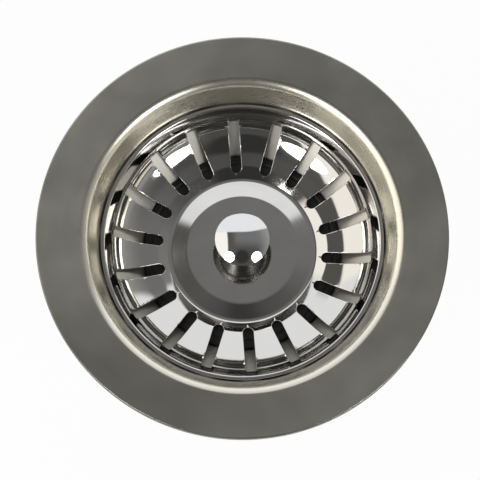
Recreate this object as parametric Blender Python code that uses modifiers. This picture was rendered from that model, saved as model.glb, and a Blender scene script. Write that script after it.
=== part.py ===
"""Basket strainer waste for a kitchen sink: flange cup, basket, stopper seal and outlet body.

All lengths are in metres and +Z is up. The outlet's end face stands at height zero, with the
common axis of every turned piece at the origin.
"""
import math

import bmesh
import bpy

# Fits between neighbouring pieces
FIT_GAP = 0.0003
CUT_OVERRUN = 0.002
JOIN_OVERLAP = 0.0004

# The sink that the fitting is clamped to
SINK_HOLE_RADIUS = 0.045
SINK_GAP = 0.0022

# Flange and wall of the pressed cup, from the outer edge inwards
CUP_SHEET = 0.0008
FLANGE_OVERHANG = 0.01215
FLANGE_EDGE_ROUND = 0.0011
FLANGE_EDGE_HEIGHT = 0.0029
FLANGE_FALL = 0.0004
ROLL_INSET = 0.0017
ROLL_ROUND = 0.0029
WALL_NARROWING = 0.0029
WALL_HEIGHT = 0.0086
BOWL_FOOT_RISE = 0.0015
BOWL_ROUND = 0.003
NECK_DROP = 0.001
NECK_ROUND = 0.001
FLOOR_ROUND = 0.002
DRAIN_HOLE_COUNT = 8
DRAIN_HOLE_RADIUS = 0.0045

# Strainer basket, measured from the top of its rim
BASKET_SHEET = 0.0006
RIM_CLEARANCE = 0.0004
RIM_LIP = 0.0011
RIM_DROP = 0.0001
RIM_ROUND = 0.0005
BASKET_WALL_HEIGHT = 0.00682
BASKET_WALL_NARROWING = 0.00237
BASKET_CORNER_ROUND = 0.0092
MIDDLE_WIDTH = 0.0066
MIDDLE_HEIGHT = 0.00178
MIDDLE_ROUND = 0.017
RISER_WIDTH = 0.00325
RISER_HEIGHT = 0.00167
RISER_ROUND = 0.0035
VALLEY_DEPTH = 0.01385
VALLEY_WIDTH = 0.001
VALLEY_ROUND = 0.0012
BEVEL_WIDTH = 0.0044
BEVEL_ROUND = 0.0024
PLATEAU_RADIUS = 0.016
PLATEAU_RISE = 0.0015
PLATEAU_ROUND = 0.0032
DIMPLE_RADIUS = 0.0088
DIMPLE_DEPTH = 0.0005
DIMPLE_ROUND = 0.02
SLOT_COUNT = 18
SLOT_WIDTH = 0.00305
SLOT_INNER_MARGIN = 0.0017
SLOT_OUTER_MARGIN = 0.002
SLOT_TURN = math.radians(94.0)

# Rubber stopper seal and the plate below it
SEAL_RADIUS = 0.0293
SEAL_THICKNESS = 0.0025
SEAT_GAP = 0.00045
SEAL_HUB_MARGIN = 0.0018
SEAL_PLATE_RADIUS = 0.018
SEAL_PLATE_THICKNESS = 0.001

# Stem with its nut and gripping ring
STEM_RADIUS = 0.003
STEM_END_ROUND = 0.0008
STEM_PIN_LENGTH = 0.015
STEM_NUT_FLATS = 0.01
STEM_NUT_HEIGHT = 0.0032
NUT_SIDES = 6
RING_SECTION_RADIUS = 0.0008
RING_STAND_OUT = 0.0004
RING_SHARE = 0.6

# Knob, measured from its foot
KNOB_RADIUS = 0.0077
KNOB_FOOT_RADIUS = 0.0043
KNOB_NECK_RADIUS = 0.0053
KNOB_NECK_DROP = 0.0016
KNOB_NECK_ROUND = 0.001
KNOB_EDGE_THICKNESS = 0.0006
KNOB_EDGE_HEIGHT = 0.0127
KNOB_DOME_RADIUS = 0.0139
KNOB_BORE_DEPTH = 0.0075

# Clamp screw and its washer
HEAD_CLEARANCE = 0.0014
STEM_BORE_CLEARANCE = 0.001
SCREW_WALL = 0.002
SCREW_BORE_END = 0.002
SCREW_HEAD_OVERHANG = 0.002
SCREW_HEAD_HEIGHT = 0.005
SCREW_HEAD_ROUND = 0.0008
SCREW_SLOT_WIDTH = 0.0024
SCREW_SLOT_DEPTH = 0.002
SCREW_TIP_ROUND = 0.001
WASHER_OVERHANG = 0.003
WASHER_THICKNESS = 0.001

# Soft rings above and below the sink
FLANGE_SEAL_THICKNESS = 0.0023
FLANGE_SEAL_MARGIN = 0.0011
GASKET_THICKNESS = 0.003
GASKET_INSET = 0.0005
GASKET_MARGIN = 0.0006
GASKET_ROUND = 0.0006

# Outlet body
BODY_WALL = 0.0026
BODY_RIM_WIDTH = 0.0061
BODY_RIM_THICKNESS = 0.0035
BODY_INSET = 0.0007
SUMP_HEIGHT = 0.0103
SUMP_CLEARANCE = 0.0031
SUMP_WALL = 0.0036
OUTLET_LENGTH = 0.026
OUTLET_BORE_RADIUS = 0.0198
SPIGOT_WALL = 0.003
COLLAR_HEIGHT = 0.004
COLLAR_WIDTH = 0.0022
BODY_CONE_DROP = 0.0013
BODY_OUTER_ROUND = 0.005
BODY_INNER_ROUND = 0.0025
GUSSET_COUNT = 8
GUSSET_HEIGHT = 0.008
GUSSET_THICKNESS = 0.002
GUSSET_MARGIN = 0.0012

# Parallel pipe thread on the spigot
THREAD_PITCH = 0.002309
THREAD_DEPTH = 0.0011
THREAD_START = 0.0026
THREAD_TURNS = 5.5

# Boss, its ribs and the threaded insert
BOSS_WALL = 0.0014
BOSS_RISE = 0.002
BOSS_ROOF = 0.003
INSERT_LENGTH = 0.01
INSERT_WALL = 0.0022
INSERT_GROOVE_DEPTH = 0.0006
INSERT_GROOVE_WIDTH = 0.002
RIB_COUNT = 4
RIB_THICKNESS = 0.003
RIB_TOP_DROP = 0.0025

# Facets
ROUND_STEPS = 48
BODY_STEPS = 40
THREAD_STEPS = 20
SMALL_STEPS = 24
FINE_STEPS = 16
RING_SECTION_STEPS = 6
ARC_STEP = math.radians(30.0)
WIDE_ARC_STEP = math.radians(45.0)
SLOT_END_STEPS = 6
DOME_STEPS = 3
SHARP_ANGLE = math.radians(32.0)
MERGE_DISTANCE = 0.00001
FULL_TURN = 2.0 * math.pi
QUARTER_TURN = math.pi / 2.0

PARTS_NAME = "basket_strainer"
CUTTERS_NAME = "strainer_cutters"


def line_radius(low, high, height):
    """Radius of the straight line through two (radius, height) points at a height."""
    share = (height - low[1]) / (high[1] - low[1])
    return low[0] + share * (high[0] - low[0])


def line_height(inner, outer, radius):
    """Height of the straight line through two (radius, height) points at a radius."""
    share = (radius - inner[0]) / (outer[0] - inner[0])
    return inner[1] + share * (outer[1] - inner[1])


# Heights below are measured down from the plane of the flange's outer edge
flange_radius = SINK_HOLE_RADIUS + FLANGE_OVERHANG
roll_radius = SINK_HOLE_RADIUS - ROLL_INSET
bowl_radius = roll_radius - WALL_NARROWING
wall_level = -FLANGE_FALL - WALL_HEIGHT
flange_inner = (roll_radius, -FLANGE_FALL)
flange_outer = (flange_radius, 0.0)

flange_slope = math.atan2(FLANGE_FALL, flange_radius - roll_radius)
flange_seal_top = -FLANGE_FALL - CUP_SHEET / math.cos(flange_slope) - FIT_GAP
sink_top_level = flange_seal_top - FLANGE_SEAL_THICKNESS
gasket_top_level = sink_top_level - SINK_GAP
body_rim_level = gasket_top_level - GASKET_THICKNESS - FIT_GAP

rim_radius = bowl_radius - RIM_CLEARANCE
rim_level = wall_level
basket_wall_top = rim_radius - RIM_LIP
basket_corner_radius = basket_wall_top - BASKET_WALL_NARROWING
basket_corner_level = rim_level - BASKET_WALL_HEIGHT
valley_level = rim_level - VALLEY_DEPTH
plateau_level = valley_level + PLATEAU_RISE
hub_level = plateau_level - DIMPLE_DEPTH
bevel_radius = PLATEAU_RADIUS + BEVEL_WIDTH
valley_radius = bevel_radius + VALLEY_WIDTH
riser_radius = valley_radius + RISER_WIDTH
riser_level = valley_level + RISER_HEIGHT
middle_radius = riser_radius + MIDDLE_WIDTH
middle_level = riser_level + MIDDLE_HEIGHT
slot_inner_radius = valley_radius + SLOT_INNER_MARGIN
slot_outer_radius = basket_wall_top - SLOT_OUTER_MARGIN
hub_bore_radius = STEM_RADIUS + FIT_GAP

seal_top_level = valley_level - BASKET_SHEET - FIT_GAP
seal_bottom_level = seal_top_level - SEAL_THICKNESS
seal_plate_level = seal_bottom_level - FIT_GAP
nut_top_level = seal_plate_level - SEAL_PLATE_THICKNESS - FIT_GAP
nut_bottom_level = nut_top_level - STEM_NUT_HEIGHT

bowl_foot_level = basket_corner_level + BOWL_FOOT_RISE
seat_radius = SEAL_RADIUS + SEAT_GAP
bowl_foot = (bowl_radius, bowl_foot_level)
seat_edge = (seat_radius, seal_top_level)
seal_bottom_radius = line_radius(seat_edge, bowl_foot, seal_bottom_level) - SEAT_GAP
neck_level = seal_bottom_level - NECK_DROP
neck_radius = line_radius(seat_edge, bowl_foot, neck_level)

head_top_level = nut_bottom_level - HEAD_CLEARANCE
head_bottom_level = head_top_level - SCREW_HEAD_HEIGHT
washer_top_level = head_bottom_level - FIT_GAP
floor_level = washer_top_level - WASHER_THICKNESS - FIT_GAP
cup_bottom_level = floor_level - CUP_SHEET
stem_end_level = nut_bottom_level - STEM_PIN_LENGTH
screw_bore_radius = STEM_RADIUS + STEM_BORE_CLEARANCE
screw_radius = screw_bore_radius + SCREW_WALL
screw_hole_radius = screw_radius + FIT_GAP
screw_head_radius = screw_radius + SCREW_HEAD_OVERHANG
washer_radius = screw_head_radius + WASHER_OVERHANG

outlet_top_level = cup_bottom_level - SUMP_HEIGHT
outlet_end_level = outlet_top_level - OUTLET_LENGTH
boss_top_level = outlet_top_level + BOSS_RISE
insert_top_level = boss_top_level - BOSS_ROOF - FIT_GAP
insert_bottom_level = insert_top_level - INSERT_LENGTH
boss_bottom_level = insert_bottom_level - FIT_GAP
insert_radius = screw_hole_radius + INSERT_WALL
boss_radius = insert_radius + FIT_GAP + BOSS_WALL
screw_end_level = insert_bottom_level

body_bowl_radius = SINK_HOLE_RADIUS - BODY_INSET
body_outer_radius = body_bowl_radius + BODY_WALL
body_rim_radius = body_outer_radius + BODY_RIM_WIDTH
sump_radius = neck_radius + CUP_SHEET + SUMP_CLEARANCE
spigot_radius = OUTLET_BORE_RADIUS + SPIGOT_WALL

overall_height = -outlet_end_level


def clear_scene():
    """Remove every object of the scene."""
    for obj in list(bpy.data.objects):
        bpy.data.objects.remove(obj, do_unlink=True)


def new_collection(name):
    """Make a collection in the scene."""
    collection = bpy.data.collections.new(name)
    bpy.context.scene.collection.children.link(collection)
    return collection


def new_material(name, colour, roughness, metallic):
    """Make a plain surface material."""
    material = bpy.data.materials.new(name)
    material.use_nodes = True
    shader = material.node_tree.nodes["Principled BSDF"]
    shader.inputs["Base Color"].default_value = (*colour, 1.0)
    shader.inputs["Roughness"].default_value = roughness
    shader.inputs["Metallic"].default_value = metallic
    material.diffuse_color = (*colour, 1.0)
    return material


def brushed_steel():
    """Ground stainless steel of the flange cup."""
    return new_material("brushed_steel", (0.58, 0.57, 0.55), 0.32, 1.0)


def polished_steel():
    """Mirror-polished stainless steel of the basket."""
    return new_material("polished_steel", (0.6, 0.59, 0.57), 0.08, 1.0)


def turned_steel():
    """Polished turned steel of the knob."""
    return new_material("turned_steel", (0.66, 0.66, 0.66), 0.05, 1.0)


def plain_steel():
    """Plain machined steel of the hidden fasteners."""
    return new_material("plain_steel", (0.5, 0.5, 0.5), 0.35, 1.0)


def brass():
    """Machined brass of the threaded insert."""
    return new_material("brass", (0.72, 0.53, 0.25), 0.3, 1.0)


def black_rubber():
    """Soft black rubber."""
    return new_material("black_rubber", (0.012, 0.012, 0.012), 0.6, 0.0)


def white_foam():
    """Closed-cell foam of the flange seal."""
    return new_material("white_foam", (0.75, 0.75, 0.73), 0.9, 0.0)


def black_plastic():
    """Moulded polypropylene of the body."""
    return new_material("black_plastic", (0.02, 0.02, 0.021), 0.45, 0.0)


def white_nylon():
    """Moulded nylon of the washer."""
    return new_material("white_nylon", (0.8, 0.79, 0.75), 0.5, 0.0)


def rounded_outline(corners, arc_step):
    """Points through (radius, height, rounding) corners, each rounding made as an arc."""
    points = []
    last = len(corners) - 1
    for index, (x, z, rounding) in enumerate(corners):
        if rounding == 0.0 or index in (0, last):
            points.append((x, z))
            continue
        before = corners[index - 1]
        after = corners[index + 1]
        angle_in = math.atan2(z - before[1], x - before[0])
        angle_out = math.atan2(after[1] - z, after[0] - x)
        turn = (angle_out - angle_in + math.pi) % FULL_TURN - math.pi
        reach = abs(rounding * math.tan(turn / 2.0))
        side = math.copysign(1.0, turn)
        start_x = x - reach * math.cos(angle_in)
        start_z = z - reach * math.sin(angle_in)
        centre_x = start_x - side * rounding * math.sin(angle_in)
        centre_z = start_z + side * rounding * math.cos(angle_in)
        steps = max(1, round(abs(turn) / arc_step))
        for step in range(steps + 1):
            angle = angle_in + turn * step / steps
            points.append((centre_x + side * rounding * math.sin(angle),
                           centre_z - side * rounding * math.cos(angle)))
    return points


def profile_mesh(name, points, closed):
    """Mesh of edges along (radius, height) points at +X."""
    shape = bmesh.new()
    corners = [shape.verts.new((x, 0.0, z)) for x, z in points]
    for first, second in zip(corners, corners[1:]):
        shape.edges.new((first, second))
    if closed:
        shape.edges.new((corners[-1], corners[0]))
    mesh = bpy.data.meshes.new(name)
    shape.to_mesh(mesh)
    shape.free()
    return mesh


def add_object(name, mesh, collection, parent, height):
    """Put a mesh into a collection as an object at a height above its parent."""
    obj = bpy.data.objects.new(name, mesh)
    collection.objects.link(obj)
    obj.parent = parent
    obj.location = (0.0, 0.0, height)
    return obj


def turned_piece(name, points, steps, closed, home, height):
    """Turn a profile about the vertical axis with a Screw modifier."""
    collection, parent = home
    obj = add_object(name, profile_mesh(name, points, closed), collection, parent, height)
    screw = obj.modifiers.new("turn", 'SCREW')
    screw.axis = 'Z'
    screw.angle = FULL_TURN
    screw.steps = steps
    screw.render_steps = steps
    screw.use_merge_vertices = True
    screw.merge_threshold = MERGE_DISTANCE
    screw.use_smooth_shade = True
    return obj


def thicken(obj, thickness):
    """Give a turned sheet its thickness on the side away from its normals."""
    solidify = obj.modifiers.new("sheet", 'SOLIDIFY')
    solidify.thickness = thickness
    solidify.offset = -1.0
    solidify.use_even_offset = True
    solidify.use_rim = True


def bake(obj):
    """Replace an object's mesh by the result of its modifiers."""
    bpy.context.view_layer.update()
    evaluated = obj.evaluated_get(bpy.context.evaluated_depsgraph_get())
    mesh = bpy.data.meshes.new_from_object(evaluated)
    obj.modifiers.clear()
    obj.data = mesh
    mesh.name = obj.name


def combine(obj, tool, operation):
    """Join a tool to an object or cut it out of it."""
    boolean = obj.modifiers.new(tool.name, 'BOOLEAN')
    boolean.operation = operation
    boolean.solver = 'EXACT'
    boolean.object = tool


def curve_to_mesh(curve_object):
    """Turn a curve object into a mesh object with welded caps."""
    bpy.context.view_layer.update()
    evaluated = curve_object.evaluated_get(bpy.context.evaluated_depsgraph_get())
    mesh = bpy.data.meshes.new_from_object(evaluated)
    shape = bmesh.new()
    shape.from_mesh(mesh)
    bmesh.ops.remove_doubles(shape, verts=shape.verts, dist=MERGE_DISTANCE)
    bmesh.ops.recalc_face_normals(shape, faces=shape.faces)
    shape.to_mesh(mesh)
    shape.free()
    name = curve_object.name
    obj = bpy.data.objects.new(name + "_solid", mesh)
    for collection in curve_object.users_collection:
        collection.objects.link(obj)
    obj.matrix_world = curve_object.matrix_world.copy()
    bpy.data.objects.remove(curve_object, do_unlink=True)
    hide_tool(obj)
    return obj


def hide_tool(obj):
    """Show a cutter or joined shape as wires only."""
    obj.hide_render = True
    obj.display_type = 'WIRE'


def flat_outlines(name, outlines, depth, collection, height):
    """Prisms of one depth on closed outlines in the XY plane, centred on a height."""
    curve = bpy.data.curves.new(name, 'CURVE')
    curve.dimensions = '2D'
    curve.fill_mode = 'BOTH'
    curve.extrude = depth / 2.0
    for outline in outlines:
        spline = curve.splines.new('POLY')
        spline.points.add(len(outline) - 1)
        for point, (x, y) in zip(spline.points, outline):
            point.co = (x, y, 0.0, 1.0)
        spline.use_cyclic_u = True
    obj = bpy.data.objects.new(name, curve)
    collection.objects.link(obj)
    obj.location = (0.0, 0.0, height)
    return curve_to_mesh(obj)


def round_tool(name, radius, depth, steps, collection, place):
    """Cylinder that cuts or joins, centred on a place."""
    shape = bmesh.new()
    bmesh.ops.create_cone(shape, cap_ends=True, segments=steps, radius1=radius, radius2=radius,
                          depth=depth)
    mesh = bpy.data.meshes.new(name)
    shape.to_mesh(mesh)
    shape.free()
    obj = bpy.data.objects.new(name, mesh)
    collection.objects.link(obj)
    obj.location = place
    hide_tool(obj)
    return obj


def bar_tool(name, size, collection, height, turn):
    """Bar of a size that cuts or joins, centred on the axis at a height and turned about it."""
    shape = bmesh.new()
    bmesh.ops.create_cube(shape, size=1.0)
    bmesh.ops.scale(shape, vec=size, verts=shape.verts)
    mesh = bpy.data.meshes.new(name)
    shape.to_mesh(mesh)
    shape.free()
    obj = bpy.data.objects.new(name, mesh)
    collection.objects.link(obj)
    obj.location = (0.0, 0.0, height)
    obj.rotation_euler = (0.0, 0.0, turn)
    hide_tool(obj)
    return obj


def finish(obj, material):
    """Bake a piece, shade it smooth between its sharp edges and give it its material."""
    bake(obj)
    mesh = obj.data
    mesh.shade_smooth()
    mesh.set_sharp_from_angle(angle=SHARP_ANGLE)
    mesh.materials.clear()
    mesh.materials.append(material)


def make_flange_cup(home, cutters):
    """Pressed cup: flange, rolled mouth, wall, seat, neck and drained floor."""
    corners = [
        (screw_hole_radius, floor_level, 0.0),
        (neck_radius, floor_level, FLOOR_ROUND),
        (neck_radius, neck_level, NECK_ROUND),
        (bowl_radius, bowl_foot_level, BOWL_ROUND),
        (bowl_radius, wall_level, 0.0),
        (roll_radius, -FLANGE_FALL, ROLL_ROUND),
        (flange_radius, 0.0, FLANGE_EDGE_ROUND),
        (flange_radius, -FLANGE_EDGE_HEIGHT, 0.0),
    ]
    obj = turned_piece("flange_cup", rounded_outline(corners, WIDE_ARC_STEP), ROUND_STEPS, False,
                       home, 0.0)
    thicken(obj, CUP_SHEET)
    pitch_radius = (washer_radius + neck_radius - FLOOR_ROUND) / 2.0
    for index in range(DRAIN_HOLE_COUNT):
        angle = FULL_TURN * (index + 1.0 / 2.0) / DRAIN_HOLE_COUNT
        place = (pitch_radius * math.cos(angle), pitch_radius * math.sin(angle),
                 overall_height + floor_level)
        hole = round_tool(f"drain_cutter_{index}", DRAIN_HOLE_RADIUS, CUT_OVERRUN + CUP_SHEET,
                          FINE_STEPS, cutters, place)
        combine(obj, hole, 'DIFFERENCE')
    finish(obj, brushed_steel())
    return obj


def slot_outline(turn):
    """One radial slot with a round inner end and a square outer end."""
    half = SLOT_WIDTH / 2.0
    centre = slot_inner_radius + half
    points = [(slot_outer_radius, -half), (slot_outer_radius, half)]
    for step in range(SLOT_END_STEPS + 1):
        angle = QUARTER_TURN + math.pi * step / SLOT_END_STEPS
        points.append((centre + half * math.cos(angle), half * math.sin(angle)))
    return [(x * math.cos(turn) - y * math.sin(turn), x * math.sin(turn) + y * math.cos(turn))
            for x, y in points]


def make_basket(home, cutters):
    """Pressed basket: lip, wall, slotted bowl, valley and raised, dimpled middle."""
    corners = [
        (hub_bore_radius, hub_level, 0.0),
        (DIMPLE_RADIUS, plateau_level, DIMPLE_ROUND),
        (PLATEAU_RADIUS, plateau_level, PLATEAU_ROUND),
        (bevel_radius, valley_level, BEVEL_ROUND),
        (valley_radius, valley_level, VALLEY_ROUND),
        (riser_radius, riser_level, RISER_ROUND),
        (middle_radius, middle_level, MIDDLE_ROUND),
        (basket_corner_radius, basket_corner_level, BASKET_CORNER_ROUND),
        (basket_wall_top, rim_level, RIM_ROUND),
        (rim_radius, rim_level - RIM_DROP, 0.0),
    ]
    obj = turned_piece("strainer_basket", rounded_outline(corners, ARC_STEP), ROUND_STEPS,
                       False, home, 0.0)
    thicken(obj, BASKET_SHEET)
    outlines = [slot_outline(SLOT_TURN + FULL_TURN * index / SLOT_COUNT)
                for index in range(SLOT_COUNT)]
    depth = basket_corner_level - valley_level + CUT_OVERRUN * 2.0
    middle = (basket_corner_level + valley_level) / 2.0
    slots = flat_outlines("slot_cutters", outlines, depth, cutters, overall_height + middle)
    combine(obj, slots, 'DIFFERENCE')
    finish(obj, polished_steel())
    return obj


def make_stopper_seal(home):
    """Rubber disc with a conical edge and a raised hub under the basket's middle."""
    hub_top = hub_level - BASKET_SHEET - FIT_GAP
    hub_radius = PLATEAU_RADIUS - SEAL_HUB_MARGIN
    points = [
        (hub_bore_radius, hub_top),
        (hub_radius - (hub_top - seal_top_level), hub_top),
        (hub_radius, seal_top_level),
        (SEAL_RADIUS, seal_top_level),
        (seal_bottom_radius, seal_bottom_level),
        (hub_bore_radius, seal_bottom_level),
    ]
    obj = turned_piece("stopper_seal", points, ROUND_STEPS, True, home, 0.0)
    finish(obj, black_rubber())
    return obj


def plain_ring(name, inner, outer, top, bottom, steps, home, material):
    """Flat ring between two radii and two heights."""
    points = [(inner, top), (outer, top), (outer, bottom), (inner, bottom)]
    obj = turned_piece(name, points, steps, True, home, 0.0)
    finish(obj, material)
    return obj


def make_nut(home, cutters):
    """Thin hexagon nut with a plain bore."""
    collection, parent = home
    shape = bmesh.new()
    corner_radius = STEM_NUT_FLATS / 2.0 / math.cos(math.pi / NUT_SIDES)
    bmesh.ops.create_cone(shape, cap_ends=True, segments=NUT_SIDES, radius1=corner_radius,
                          radius2=corner_radius, depth=STEM_NUT_HEIGHT)
    mesh = bpy.data.meshes.new("stem_nut")
    shape.to_mesh(mesh)
    shape.free()
    middle = (nut_top_level + nut_bottom_level) / 2.0
    obj = add_object("stem_nut", mesh, collection, parent, middle)
    bore = round_tool("nut_bore_cutter", hub_bore_radius, STEM_NUT_HEIGHT + CUT_OVERRUN,
                      FINE_STEPS, cutters, (0.0, 0.0, overall_height + middle))
    combine(obj, bore, 'DIFFERENCE')
    finish(obj, plain_steel())
    return obj


def ring_level():
    """Height of the gripping ring's middle, a share of the way down the pin in the screw."""
    return head_top_level + RING_SHARE * (stem_end_level - head_top_level)


def make_stem(home):
    """Stem with a rounded end and a groove for the gripping ring."""
    top = hub_level + KNOB_BORE_DEPTH
    groove_radius = STEM_RADIUS + RING_STAND_OUT - RING_SECTION_RADIUS * 2.0 - FIT_GAP
    groove_half = RING_SECTION_RADIUS + FIT_GAP
    middle = ring_level()
    corners = [
        (0.0, top, 0.0),
        (STEM_RADIUS, top, STEM_END_ROUND),
        (STEM_RADIUS, middle + groove_half, 0.0),
        (groove_radius, middle + groove_half, 0.0),
        (groove_radius, middle - groove_half, 0.0),
        (STEM_RADIUS, middle - groove_half, 0.0),
        (STEM_RADIUS, stem_end_level, STEM_END_ROUND),
        (0.0, stem_end_level, 0.0),
    ]
    obj = turned_piece("stem", rounded_outline(corners, ARC_STEP), FINE_STEPS, False, home, 0.0)
    finish(obj, plain_steel())
    return obj


def make_stem_ring(home):
    """Round-section rubber ring in the stem's groove."""
    section_middle = STEM_RADIUS + RING_STAND_OUT - RING_SECTION_RADIUS
    points = []
    for step in range(RING_SECTION_STEPS):
        angle = -FULL_TURN * step / RING_SECTION_STEPS
        points.append((section_middle + RING_SECTION_RADIUS * math.cos(angle),
                       ring_level() + RING_SECTION_RADIUS * math.sin(angle)))
    obj = turned_piece("stem_ring", points, FINE_STEPS, True, home, 0.0)
    finish(obj, black_rubber())
    return obj


def make_knob(home):
    """Turned knob: narrowing neck and thin domed head, with a blind bore for the stem."""
    foot = hub_level + FIT_GAP
    edge = foot + KNOB_EDGE_HEIGHT
    dome_angle = math.asin(KNOB_RADIUS / KNOB_DOME_RADIUS)
    dome_centre = edge - KNOB_DOME_RADIUS * math.cos(dome_angle)
    points = [(KNOB_DOME_RADIUS * math.sin(dome_angle * step / DOME_STEPS),
               dome_centre + KNOB_DOME_RADIUS * math.cos(dome_angle * step / DOME_STEPS))
              for step in range(DOME_STEPS)]
    body = [
        (KNOB_RADIUS, edge, 0.0),
        (KNOB_RADIUS, edge - KNOB_EDGE_THICKNESS, 0.0),
        (KNOB_NECK_RADIUS, edge - KNOB_NECK_DROP, KNOB_NECK_ROUND),
        (KNOB_FOOT_RADIUS, foot, 0.0),
        (hub_bore_radius, foot, 0.0),
        (hub_bore_radius, foot + KNOB_BORE_DEPTH, 0.0),
        (0.0, foot + KNOB_BORE_DEPTH, 0.0),
    ]
    points += rounded_outline(body, ARC_STEP)
    obj = turned_piece("knob", points, SMALL_STEPS, False, home, 0.0)
    finish(obj, turned_steel())
    return obj


def make_clamp_screw(home, cutters):
    """Clamp screw with a slotted, hollow head and a blind bore that guides the stem."""
    bore_end = stem_end_level - SCREW_BORE_END
    corners = [
        (0.0, bore_end, 0.0),
        (screw_bore_radius, bore_end, 0.0),
        (screw_bore_radius, head_top_level, 0.0),
        (screw_head_radius, head_top_level, SCREW_HEAD_ROUND),
        (screw_head_radius, head_bottom_level, 0.0),
        (screw_radius, head_bottom_level, 0.0),
        (screw_radius, screw_end_level, SCREW_TIP_ROUND),
        (0.0, screw_end_level, 0.0),
    ]
    obj = turned_piece("clamp_screw", rounded_outline(corners, ARC_STEP), SMALL_STEPS, False,
                       home, 0.0)
    slot_size = (screw_head_radius * 2.0 + CUT_OVERRUN, SCREW_SLOT_WIDTH, SCREW_SLOT_DEPTH * 2.0)
    slot = bar_tool("screw_slot_cutter", slot_size, cutters, overall_height + head_top_level, 0.0)
    combine(obj, slot, 'DIFFERENCE')
    finish(obj, plain_steel())
    return obj


def make_flange_seal(home):
    """Foam ring whose top follows the flange and whose flat bottom lies on the sink."""
    inner = SINK_HOLE_RADIUS + FLANGE_SEAL_MARGIN
    outer = flange_radius - CUP_SHEET - FLANGE_EDGE_ROUND
    drop = CUP_SHEET / math.cos(flange_slope) + FIT_GAP
    points = [
        (inner, line_height(flange_inner, flange_outer, inner) - drop),
        (outer, line_height(flange_inner, flange_outer, outer) - drop),
        (outer, sink_top_level),
        (inner, sink_top_level),
    ]
    obj = turned_piece("flange_seal", points, ROUND_STEPS, True, home, 0.0)
    finish(obj, white_foam())
    return obj


def make_sink_gasket(home):
    """Rubber gasket ring between the sink's underside and the body's rim."""
    inner = SINK_HOLE_RADIUS - GASKET_INSET
    outer = body_rim_radius - GASKET_MARGIN
    bottom = gasket_top_level - GASKET_THICKNESS
    corners = [
        (inner, gasket_top_level, 0.0),
        (outer, gasket_top_level, GASKET_ROUND),
        (outer, bottom, GASKET_ROUND),
        (inner, bottom, 0.0),
    ]
    obj = turned_piece("sink_gasket", rounded_outline(corners, QUARTER_TURN), ROUND_STEPS, True,
                       home, 0.0)
    finish(obj, black_rubber())
    return obj


def make_thread(collection):
    """Helical ridge of the pipe thread, sunk by half into the spigot."""
    curve = bpy.data.curves.new("thread_ridge", 'CURVE')
    curve.dimensions = '3D'
    curve.twist_mode = 'Z_UP'
    curve.bevel_depth = THREAD_DEPTH
    curve.bevel_resolution = 0
    curve.use_fill_caps = True
    steps = round(THREAD_TURNS * THREAD_STEPS)
    spline = curve.splines.new('POLY')
    spline.points.add(steps)
    for step, point in enumerate(spline.points):
        angle = FULL_TURN * step / THREAD_STEPS
        height = THREAD_START + THREAD_PITCH * step / THREAD_STEPS
        point.co = (spigot_radius * math.cos(angle), spigot_radius * math.sin(angle), height, 1.0)
    obj = bpy.data.objects.new("thread_ridge", curve)
    collection.objects.link(obj)
    return curve_to_mesh(obj)


def make_gussets(collection):
    """Upright gussets between the body's rim and its bowl."""
    inner = body_outer_radius - JOIN_OVERLAP
    outer = body_rim_radius - GUSSET_MARGIN
    rim_bottom = body_rim_level - BODY_RIM_THICKNESS
    top = rim_bottom + JOIN_OVERLAP
    outline = [(inner, top), (inner, rim_bottom - GUSSET_HEIGHT), (outer, rim_bottom), (outer, top)]
    gussets = []
    for index in range(GUSSET_COUNT):
        turn = FULL_TURN * index / GUSSET_COUNT
        gusset = flat_outlines(f"gusset_{index}", [outline], GUSSET_THICKNESS, collection, 0.0)
        gusset.rotation_euler = (QUARTER_TURN, 0.0, turn)
        gusset.location = (0.0, 0.0, overall_height)
        gussets.append(gusset)
    return gussets


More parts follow.
